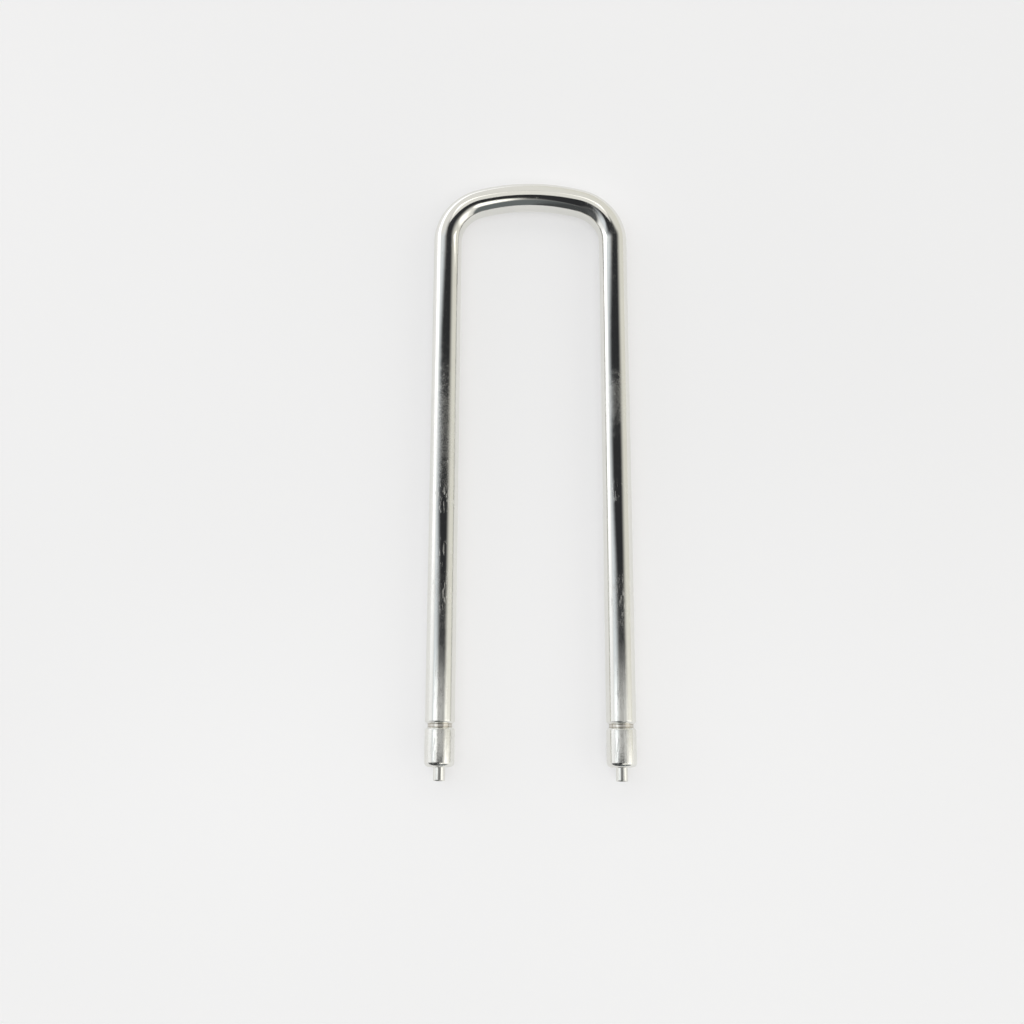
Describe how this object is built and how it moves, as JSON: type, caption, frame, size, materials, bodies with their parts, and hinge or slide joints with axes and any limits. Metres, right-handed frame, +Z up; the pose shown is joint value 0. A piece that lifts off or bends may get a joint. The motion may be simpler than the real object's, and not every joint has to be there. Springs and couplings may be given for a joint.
{
  "type": "u-shaped bail rod",
  "caption": "Polished round rod bent into a long narrow U with a shallow crown; each leg ends in a grooved ferrule and a short locating pin.",
  "frame": {"origin": "under the middle of the outline, on the surface that the rod lies on", "axes": "+Z up from the surface, +X across the two legs, +Y along the legs towards the bend, so the pins point to -Y"},
  "size_m": [0.042, 0.1282, 0.006],
  "materials": {
    "polished_plating": "bright nickel-like plating, polished, with fine speckle and light handling scratches",
    "turned_plating": "bright plating over a turned surface, slightly softer than the rod",
    "pin_plating": "bright plating over a small turned pin"
  },
  "bodies": {
    "root": {"bent_rod": "polished_plating", "left_ferrule": "turned_plating", "right_ferrule": "turned_plating", "left_locating_pin": "pin_plating", "right_locating_pin": "pin_plating"}
  },
  "joints": []
}
